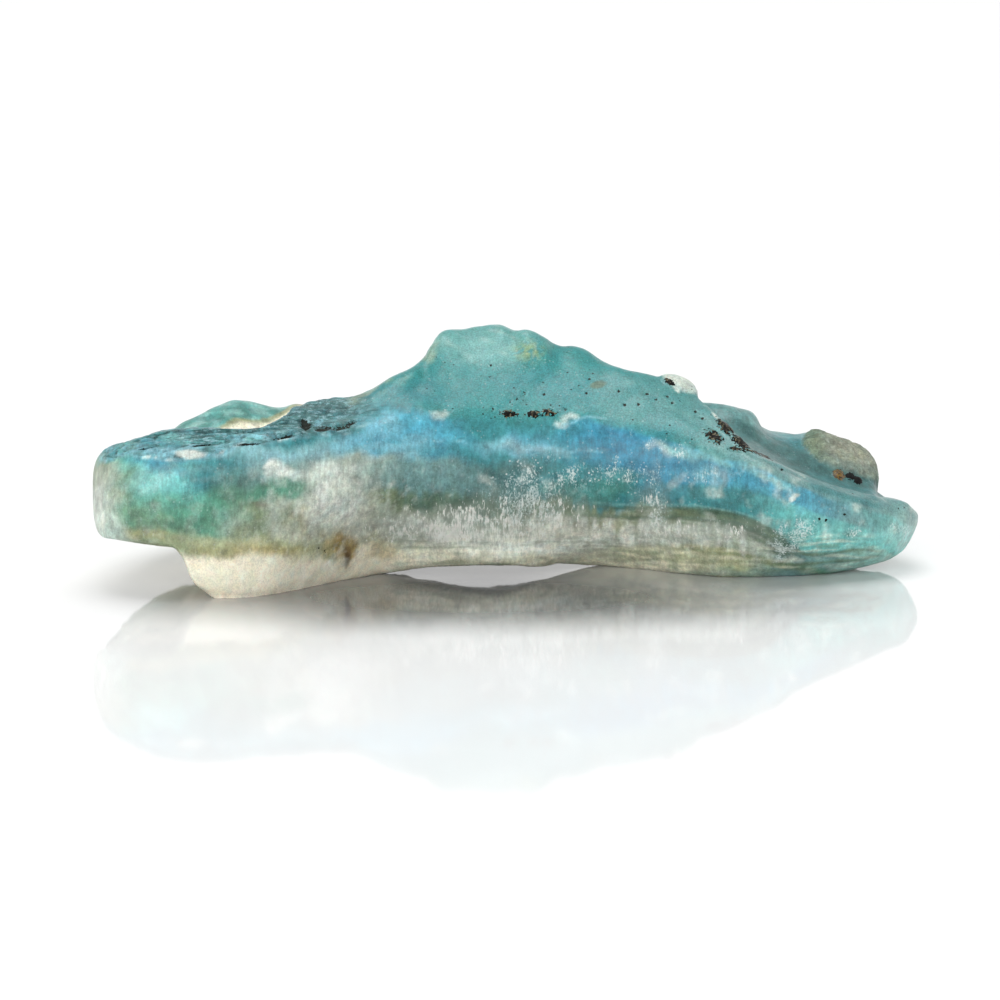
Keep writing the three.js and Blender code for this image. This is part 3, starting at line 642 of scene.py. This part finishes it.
# The cap: a smooth sea-blue skin, greener and paler on the peak, with a moss-coloured fleck and two
# tiny painted highlights.
peak = np.clip(2.2 * mound((-1.1, 0.2, 10.3), (3.7, 3.2, 2.4)), 0, 1)
left_edge = between(N, 4.55, 5.3, 0.25) * between(X, -6.6, -3.2, 0.6)
paint("straw", left_edge * patchy(-0.3, 0.6, 0.9, 261, 4), 0.4)
streaming = grain(stretched(X * 0.35, Y * 0.5, H + 0.35 * X), 0.28, 241)
paint("pale_sea", peak, 0.35)
paint("milk", peak * rise(0.1, 0.8, streaming), 0.15)
paint("deep_sea", shown * stripe(X + 3, 1.6) * stripe(H - 8.7, 0.5), 0.6)
flank = oval(-4.6, 8.6, 1.7, 0.55, 24) * shown
paint("deep_sea", flank, 0.8)
paint("ink", flank * rise(-0.2, 0.6, streaming), 0.25)
speckled = stripe(X - 0.95, 0.6) * stripe(H - 10.75, 0.4) * shown
paint("lichen", speckled * patchy(-0.4, 0.2, 0.3, 145, 2), 0.6)
paint("straw", speckled * patchy(0.1, 0.5, 0.25, 147, 2), 0.5)
scratch = height_line(((2.4, 7.5), (2.9, 7.62), (3.3, 7.82), (3.8, 7.86), (4.6, 7.72), (5.6, 7.6)))
paint("pale_sky", stripe(H - scratch, 0.05) * between(X, 2.5, 4.2, 0.3) * shown, 0.7)
paint("slate", between(X, 4.6, 8, 1) * between(H, 7.7, 9.4, 0.6) * shown, 0.3)
paint("moss", oval(3.97, 9.26, 0.36, 0.16, 10, 0.25, 0.12), 1)
# painted highlights: two tiny glints on the cap
paint("milk", oval(7.4, 9, 0.16, 0.05, -40, 0.5, 0), 0.9)
paint("milk", oval(9.05, 7.85, 0.16, 0.05, -50, 0.5, 0), 0.9)

# The fold between the cap and the lobes behind it is dull and painted dark: painted shade in the
# crease.
fold = height_line(((8.6, 8.1), (9.9, 7), (11.4, 6.2), (12.6, 5.65), (14, 5.05), (15.3, 4.6),
                    (16.6, 4.4)))
painted_fold_shade = between(H - fold, -0.25, 0.75, 0.35) * between(N, 5.3, 7.2, 0.5) * rise(9, 11, X)
lobes = between(N + 0.3 * stray, 5.6, 7.2, 0.6) * rise(5.5, 11, X + 2 * wander)
paint("slate", lobes * rise(0, 0.8, stray), 0.3)
paint("deep_sea", np.clip(2 * mound((12.4, 1.3, 5.2), (1.5, 2.4, 1.5)), 0, 1), 0.9)
# painted shade in the fold
paint("ink", painted_fold_shade, 0.9)
paint("soot", painted_fold_shade, 0.08)
# Painted shade: the band just below the fold, under the crust, is darkened with deep sea and ink.
step = between(H - fold, -0.6, 0.1, 0.2) * between(X, 13.4, 16, 0.5) * between(N, 3.1, 7.2, 0.3)
paint("deep_sea", step, 0.5)
paint("ink", step, 0.3)

# The crust on the last lobe: a dull grey skin of clay and silica, with an iron-stained grain and a
# black one caught at its lower edge. A pale crystal has grown on the shoulder above.
# Painted shadow: a dark band on the skin just below the crust's overhanging lower edge.
crust_shadow_band = between(H - crust_edge + 0.1 * stray, -0.35, 0, 0.25)
paint("ink", crust_shadow_band * between(X, 13.2, 16, 0.4) * between(N, 5.4, 8.1, 0.5), 0.7)
paint("crust", crust)
# The crust is greyer towards its lower edge and darker and greener at its left end: partly its own
# colour, partly painted shade.
paint("slate", crust * (1 - rise(0.1, 0.7, H - crust_edge)), 0.35)
paint("moss", crust * (1 - rise(13.3, 14.4, X)), 0.75)
paint("straw", crust * patchy(0, 0.7, 0.6, 116, 4), 0.2)
paint("umber", crust * patchy(0.25, 0.8, 0.35, 117, 3), 0.2)
paint("milk", rise(0.3, 0.9, nub + 0.3 * stray), 0.55)
paint("cream", rise(0.6, 1.1, nub + 0.5 * wander), 0.3)

# The hollow behind the rim is lined with cream, edged with ochre, and the ridge behind it is sea
# green.
ridge = between(N, 5.9, 7.6, 0.3) * between(X + 0.8 * wander, -16, -8.8, 1.2)
paint("leaf", ridge, 0.5)
paint("turquoise", ridge * rise(-0.2, 0.6, stray), 0.45)
paint("pale_sea", ridge * patchy(-0.2, 0.5, 0.7, 119, 4), 0.75)
lining = height_line(((-13, 7.2), (-12.2, 7.5), (-11.4, 7.62), (-10.6, 7.66), (-10, 7.9),
                      (-9.2, 8.3), (-8.6, 8.4)))
below_edge = lining - H - 0.1 * stray
within = between(N, 6.1, 6.9, 0.35) * between(X + 0.5 * stray, -12.5, -8.9, 0.5)
floor = between(N + 0.3 * stray, 5.4, 6.2, 0.3) * between(X + 0.8 * wander, -12.6, -9.4, 1.2)
paint("pale_sea", floor * rise(-0.6, 0.5, stray), 0.6)
paint("sand", floor * rise(-0.2, 0.7, wander), 0.5)
paint("ochre", within * between(below_edge, -0.12, 0.2, 0.1), 0.6)
lined = within * rise(-0.06, 0.1, below_edge) * (1 - rise(0.45, 0.95, below_edge + 0.35 * stray))
paint("cream", lined, 0.95)

# The back: domes, paler on their crowns and darker in the creases between them. The underside:
# cream and rust where it came away from its rock.
crease = (1 - rise(0.02, 0.2, second - near)) * rise(-0.4, 0.6, stray)
small_crease = (1 - rise(0.02, 0.2, small_second - small_near)) * rise(-0.2, 0.8, wander)
paint("turquoise", knobbly * rise(0.85, 1, domes) * rise(-0.5, 0.5, wander), 0.35)
paint("ink", knobbly * np.maximum(crease, 0.6 * small_crease), 0.4)
paint("sand", sole * rise(-0.3, 0.5, torn), 0.6)
paint("rust", sole * patchy(0.1, 0.8, 2.4, 151, 4), 0.4)

# The mesh: rings of points closed by a tip at each end, kept inside the CAD model's box and above
# the table, so that the feet are worn flat where the stone rests.
even = shown * rise(0, 0.4, H - height_line(LAYERS[5][0])) * rise(-7, -5, X)  # the cap
smooth = np.maximum(even, front * (1 - rise(1.2, 1.9, layer_h)) * (1 - rise(-6, -3, X)))
tone = 1 + 0.12 * (1 - 0.7 * smooth) * drift(body, 0.7, 161, 4)
colour *= tone[..., None]


def with_tips(values):
    """A value for every vertex: the first ring's mean, the rings in turn, the last ring's mean."""
    flat = values.reshape(-1, *values.shape[2:])
    return np.concatenate([values[:1].mean(axis=1), flat, values[-1:].mean(axis=1)])


MM = 0.001
rings, around = X.shape
points = np.concatenate([[tips[0]], stone_points.reshape(-1, 3), [tips[1]]]) * MM
points = np.clip(points, cad_box[0], cad_box[1])

ring, place = np.meshgrid(np.arange(rings - 1), np.arange(around), indexing="ij")
ring, place = ring.ravel(), place.ravel()
beside = (place + 1) % around
quads = 1 + np.stack([ring * around + place, (ring + 1) * around + place,
                      (ring + 1) * around + beside, ring * around + beside], axis=1)
here = np.arange(around)
ahead = (here + 1) % around
last = 1 + (rings - 1) * around
blunt_fan = np.stack([0 * here, 1 + here, 1 + ahead], axis=1)
nose_fan = np.stack([0 * here + len(points) - 1, last + ahead, last + here], axis=1)

skin_mesh = bpy.data.meshes.new("stone_skin")
skin_mesh.from_pydata(points.tolist(), [], quads.tolist() + blunt_fan.tolist() + nose_fan.tolist())
skin_mesh.polygons.foreach_set("use_smooth", np.ones(len(skin_mesh.polygons), bool))

u = np.concatenate([
    np.stack([place, place, place + 1, place + 1], axis=1).ravel(),
    np.stack([here + 0.5, here, here + 1], axis=1).ravel(),
    np.stack([here + 0.5, here + 1, here], axis=1).ravel(),
]) / around
v = np.concatenate([
    np.stack([ring + 1, ring + 2, ring + 2, ring + 1], axis=1).ravel(),
    np.tile([0, 1, 1], around),
    np.tile([rings + 1, rings, rings], around),
]) / (rings + 1)
uv = np.stack([u, v], axis=1).astype(np.float32).ravel()
skin_mesh.uv_layers.new(name="OFBake").uv.foreach_set("vector", uv)


def keep(name, values):
    """Stores a field on the mesh's points, as a colour if it has three values a point."""
    values = with_tips(values)
    if values.ndim == 2:
        values = np.concatenate([values, np.ones((len(values), 1))], axis=1)
        layer, kind = skin_mesh.attributes.new(name, "FLOAT_COLOR", "POINT"), "color"
    else:
        layer, kind = skin_mesh.attributes.new(name, "FLOAT", "POINT"), "value"
    layer.data.foreach_set(kind, values.astype(np.float32).ravel())


# Where fine growth shows: needles stand upright in the pale layer, and a frost of tiny crystals
# covers the middle of the broken face.
def grown(places):
    """A field of fine growth: its ovals, each times its share, added up and held below 1."""
    return np.clip(sum(share * oval(*place) for share, *place in places), 0, 1)


NEEDLES = ((1, -2.8, 3.1, 3.2, 0.66, 3, 0.9), (1, 0.8, 3.5, 2.6, 1.0, 0, 0.9),
           (0.9, 6.4, 3.6, 0.7, 1.2, 0, 0.8), (0.7, 9, 2.9, 2.5, 0.5, 0, 0.9))
FROST = ((1, 0.9, 4.5, 1.7, 1.2, 0, 0.9), (0.8, 4.3, 5.3, 1.6, 0.6, 0, 0.9),
         (0.7, 6.4, 4.3, 0.5, 1.1, 0, 0.8), (1.1, 12.15, 2.15, 0.8, 0.7),
         (1, 13.05, 3.0, 0.45, 0.5), (0.9, 14.95, 2.7, 0.35, 0.35), (0.8, 11.9, 3.0, 0.25, 0.3),
         (0.6, 8.6, 5.4, 0.7, 0.4), (0.7, 17.3, 2.8, 0.5, 0.5), (0.9, 7.1, 6.5, 0.9, 0.35, -20),
         (0.5, 2.35, 7.7, 0.45, 0.28), (0.5, -2.95, 7.85, 0.35, 0.3))
keep("growth", np.clip(colour, 0.002, 1))
keep("needles", grown(NEEDLES))
keep("frost", grown(FROST))
keep("cap", even)
keep("smooth", smooth)
keep("crust", np.clip(crust + 0.5 * sole, 0, 1))
keep("crumbs", crumbs)
keep("ochre_grain", ochre_grain)
keep("black_grain", black_grain)
# the pits field also carries the crevices, whose near-black paint is painted shade
keep("pits", np.clip(np.maximum(pits * shown, crevice), -1, 1))
keep("rim", rim * (1 - lens) * (1 - 0.45 * foot_of_rim) * rise(-18.5, -12, X))


def set_down(name, data):
    """An object of this name and data, put into the scene."""
    made = bpy.data.objects.new(name, data)
    bpy.context.scene.collection.objects.link(made)
    return made


stone = set_down("raw_hemimorphite", skin_mesh)

# Its finish: the growth colours, then ever finer mottling, the rim's painted highlights and shade,
# needles, frost and pinprick pits.
look = bpy.data.materials.new("hemimorphite")
look.use_nodes = True
tree = look.node_tree
surface = tree.nodes["Principled BSDF"]


def wire(node, inputs):
    """Gives a node its inputs, each a value set on the socket or another node's output."""
    for name, value in inputs.items():
        if isinstance(value, bpy.types.NodeSocket):
            tree.links.new(value, node.inputs[name])
        else:
            node.inputs[name].default_value = value


def add(kind, inputs, **settings):
    """A new shader node with its settings and its inputs."""
    made = tree.nodes.new("ShaderNode" + kind)
    for name, value in settings.items():
        setattr(made, name, value)
    wire(made, inputs)
    return made


def field(name):
    """A field kept on the mesh, as a number."""
    return add("Attribute", {}, attribute_name=name).outputs["Fac"]


def noise(scale, detail=3.0, stretch=(1, 1, 1), roughness=0.55):
    """Cloudy noise with this many lumps a metre, drawn out by stretch."""
    place = add("Mapping", {"Vector": where, "Scale": tuple(scale * s for s in stretch)})
    made = add("TexNoise", {"Vector": place.outputs[0], "Scale": 1.0, "Detail": detail,
                            "Roughness": roughness})
    return made.outputs[0]


def ramp(value, low, high, to_low=0.0, to_high=1.0):
    """Value moved from the span low to high onto the span to_low to to_high, with an S curve."""
    return add("MapRange", {"Value": value, "From Min": low, "From Max": high,
                            "To Min": to_low, "To Max": to_high},
               interpolation_type="SMOOTHSTEP").outputs[0]


def spread(value, low, high):
    """Noise, which keeps mostly between 0.3 and 0.7, moved onto the span low to high."""
    return ramp(value, 0.3, 0.7, low, high)


def maths(operation, total, *others):
    """One kind of sum, carried along two or more numbers."""
    for number in others:
        total = add("Math", {0: total, 1: number}, operation=operation).outputs[0]
    return total


def plus(*numbers):
    """The numbers added up."""
    return maths("ADD", *numbers)


def times(*numbers):
    """The numbers multiplied."""
    return maths("MULTIPLY", *numbers)


def blend(mask, under, over, way="MIX"):
    """Colour over laid on colour under where mask is 1."""
    return add("Mix", {0: mask, 6: under, 7: over}, data_type="RGBA", blend_type=way).outputs[2]


def lay(mask, red, green, blue):
    """The finish so far, with one colour laid on it where mask is 1."""
    return blend(mask, shade, (red, green, blue, 1))


def grey(value):
    """A grey colour of this brightness."""
    return add("CombineColor", {0: value, 1: value, 2: value}).outputs[0]


def dots(scale, inner, outer):
    """Round dots, this many cells a metre: 1 within inner of a cell's seed, 0 beyond outer."""
    made = add("TexVoronoi", {"Vector": where, "Scale": scale})
    return ramp(made.outputs["Distance"], inner, outer, 1.0, 0.0)


where = add("TexCoord", {}).outputs["Object"]
shade = add("Attribute", {}, attribute_name="growth").outputs["Color"]

# mottling, in three sizes and along the grain, and a faint drift to warmer and cooler colours
cloudy = noise(1500, 4)
fine = noise(5200, 3)
dust = noise(14000, 2)
fibres = noise(7500, 3, (1, 0.4, 0.28), 0.6)
uneven = plus(times(field("smooth"), -0.65), 1.0)
value = plus(times(spread(cloudy, -0.2, 0.2), uneven), times(spread(fine, -0.1, 0.1), uneven))
value = plus(value, 1.0, times(spread(dust, -1, 1), plus(times(field("cap"), 0.12), 0.11)))
value = times(value, plus(times(spread(fibres, -0.14, 0.14), uneven), 1.0))
warm = times(value, spread(noise(2700, 4), 0.96, 1.04))
cool = times(value, spread(noise(2300, 4), 0.97, 1.03))
mottle = add("CombineColor", {0: warm, 1: value, 2: cool}).outputs[0]
shade = blend(1.0, shade, mottle, "MULTIPLY")

# the rim's torn flakes and cracks: painted highlights on the flakes, painted shade in the hollows
# and cracks
torn_rim = noise(5200, 5, (0.5, 0.8, 1.5), 0.7)
cracks = maths("ABSOLUTE", plus(noise(2600, 4, (0.5, 0.8, 2), 0.65), -0.5), 0)
shade = lay(times(ramp(torn_rim, 0.53, 0.62), field("rim"), 0.7), 0.36, 0.58, 0.63)
rim_hollow_shade = maths("MAXIMUM", ramp(torn_rim, 0.45, 0.38), ramp(cracks, 0.025, 0.008))
shade = lay(times(rim_hollow_shade, field("rim"), 0.62), 0.02, 0.05, 0.06)

# needles: upright streaks in tufts, with painted shade in the hollows between them, on a paler
# ground
tufts = times(plus(noise(1500, 2, (1, 0.5, 0.45)), -0.5), 0.5)
columns = plus(noise(11500, 2, (1, 0.4, 0.2), 0.6), tufts, times(field("needles"), 0.23))
needle_mask = times(ramp(columns, 0.72, 0.83), ramp(noise(3400, 2), 0.35, 0.6, 0.5, 1.0),
                    ramp(field("needles"), 0, 0.2))
needle_gap_shade = times(ramp(columns, 0.68, 0.58), field("needles"), 0.22)
shade = lay(times(field("needles"), 0.3), 0.62, 0.66, 0.58)
shade = lay(needle_gap_shade, 0.12, 0.17, 0.13)
shade = lay(needle_mask, 0.88, 0.9, 0.84)

# frost: splinters in bunches, in a haze, with dark gaps
splinter = noise(14500, 2, (1, 0.8, 0.6), 0.7)
bunches = times(plus(noise(2200, 3, (1, 0.7, 0.6)), -0.5), 0.8)
frosted = plus(splinter, bunches, times(field("frost"), 0.3))
frost_mask = times(ramp(frosted, 0.76, 0.93), ramp(noise(4100, 2), 0.35, 0.6, 0.6, 1.0),
                   ramp(field("frost"), 0, 0.3, 0.25, 1.0))
shade = lay(times(ramp(frosted, 0.62, 0.85), 0.24), 0.36, 0.56, 0.58)
shade = lay(times(ramp(splinter, 0.5, 0.4), field("frost"), 0.3), 0.02, 0.08, 0.09)
shade = lay(times(frost_mask, 0.85), 0.7, 0.78, 0.75)
spark = times(dots(5200.0, 0.12, 0.3), ramp(noise(2200, 1), 0.55, 0.62))
shade = lay(times(spark, plus(times(field("frost"), 0.8), 0.16)), 0.82, 0.88, 0.86)

# pinprick pits, the crevices painted near black as shade in them, dark crumbs, the rusty grain and
# the black one
specks = times(dots(3200.0, 0.08, 0.2), ramp(noise(900, 1), 0.53, 0.6), field("cap"))
ragged = plus(noise(7500, 3), -0.5)
pits_and_crevice_shade = ramp(plus(field("pits"), times(ragged, 1.5)), 0.3, 0.5)
speck = maths("MAXIMUM", specks, pits_and_crevice_shade)
shade = lay(speck, 0.025, 0.03, 0.025)
crumb_mask = ramp(plus(field("crumbs"), times(ragged, 2.6)), 0.05, 0.25)
fleck = blend(ramp(noise(8000, 1), 0.56, 0.64), (0.008, 0.008, 0.007, 1), (0.15, 0.13, 0.08, 1))
shade = blend(crumb_mask, shade, fleck)
rusty = blend(ramp(noise(9000, 2), 0.46, 0.56), (0.21, 0.125, 0.03, 1), (0.03, 0.02, 0.01, 1))
shade = blend(ramp(plus(field("ochre_grain"), ragged), 0.05, 0.2), shade, rusty)
black_mask = ramp(plus(field("black_grain"), ragged), 0.05, 0.2)
shade = lay(black_mask, 0.012, 0.012, 0.012)

# the crust's gravel
gravel = ramp(noise(8000, 4, roughness=0.65), 0.35, 0.65, 0.84, 1.14)
shade = blend(field("crust"), shade, blend(1.0, shade, grey(gravel), "MULTIPLY"))

gloss = plus(spread(fine, 0.3, 0.46), times(field("crust"), 0.42))
dull = maths("MAXIMUM", crumb_mask, speck, field("crust"), black_mask)
bumps = plus(times(fine, 0.5), times(cloudy, 0.8), times(gravel, field("crust"), 1.5),
             times(noise(3000, 5, (0.35, 1, 1)), field("rim"), 5.0),
             times(torn_rim, field("rim"), 3.0))
pitted = add("Bump", {"Height": bumps, "Strength": 0.5, "Distance": 0.00006})
wire(surface, {
    "Base Color": shade, "Roughness": gloss, "Specular IOR Level": ramp(dull, 0, 1, 0.42, 0.06),
    "Normal": pitted.outputs[0], "Subsurface Weight": 0.3, "Subsurface Radius": (0.5, 1.0, 1.0),
    "Subsurface Scale": 0.0007, "IOR": 1.5,
})
skin_mesh.materials.append(look)

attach(stone, "root")
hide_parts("stone")

# The table: a white sheet, glossy round the stone, which it mirrors softly, with a painted shadow:
# its colour is darkened right under and before the stone, where little light gets in.
HALF_TABLE = 3.0
table_mesh = bpy.data.meshes.new("table")
corners = ((-1, -1), (1, -1), (1, 1), (-1, 1))
table_mesh.from_pydata([(x * HALF_TABLE, y * HALF_TABLE, 0) for x, y in corners],
                       [], [(0, 1, 2, 3)])
table = set_down("table", table_mesh)
sheet = bpy.data.materials.new("white_sheet")
sheet.use_nodes = True
tree = sheet.node_tree
on_table = add("TexCoord", {}).outputs["Object"]


def far_from(centre, stretch):
    """How far a place on the table lies from the centre, in an oval's half axes."""
    oval_space = add("Mapping", {"Vector": on_table, "Location": centre, "Scale": stretch})
    return add("VectorMath", {0: oval_space.outputs[0]}, operation="LENGTH").outputs["Value"]


# painted shadow: the sheet's colour, darkest just before the stone and pale further out
painted_floor_shadow = ramp(far_from((0.08, 1.15, 0), (70, 140, 0)), 0.3, 1.5, 0.12, 0.96)
sheen = ramp(far_from((0, 0, 0), (45, 80, 0)), 0.7, 2.0, 0.4, 0.06)
wire(tree.nodes["Principled BSDF"],
     {"Base Color": grey(painted_floor_shadow), "Roughness": 0.05, "IOR": 1.5, "Specular IOR Level": sheen})
table_mesh.materials.append(sheet)

# Light: a white tent round the stone, brightest low down, with a soft lamp above it and a weaker
# one in front.
TENT_LOW, TENT_HIGH = 1.06, 0.4  # how bright the tent is near the table and overhead
world = bpy.data.worlds.new("tent")
bpy.context.scene.world = world
world.use_nodes = True
tree = world.node_tree
direction = add("TexCoord", {}).outputs["Generated"]
upward = add("SeparateXYZ", {0: direction}).outputs["Z"]
wire(tree.nodes["Background"],
     {"Color": (1, 1, 1, 1), "Strength": ramp(upward, 0.15, 0.6, TENT_LOW, TENT_HIGH)})

LAMP_AIM = np.array((0, -0.002, 0.004))


def lamp(name, place, size, watts):
    """A square soft lamp at place, in metres, that faces the stone."""
    data = bpy.data.lights.new(name, "AREA")
    data.size = size
    data.energy = watts
    made = set_down(name, data)
    made.location = place
    aim = LAMP_AIM - place
    made.rotation_euler = (np.arctan2(np.hypot(aim[0], aim[1]), -aim[2]), 0,
                           np.arctan2(aim[0], -aim[1]) + np.pi)


lamp("top_lamp", (-0.05, 0.05, 0.5), 0.35, 1.55)
lamp("front_lamp", (-0.12, -0.5, 0.14), 0.4, 1.4)

# The camera looks along the stone's front-to-back axis, 10 degrees above the table.
CAMERA_DISTANCE = 0.6
CAMERA_AIM = np.array((-0.0003, -0.005, 0.00372))
TILT = np.radians(10)
eye = bpy.data.cameras.new("camera")
eye.lens = 497
eye.clip_start, eye.clip_end = 0.01, 20
camera = set_down("camera", eye)
camera.location = CAMERA_AIM + CAMERA_DISTANCE * np.array((0, -np.cos(TILT), np.sin(TILT)))
camera.rotation_euler = (np.pi / 2 - TILT, 0, 0)
bpy.context.scene.camera = camera
bpy.context.scene.view_settings.view_transform = "Standard"
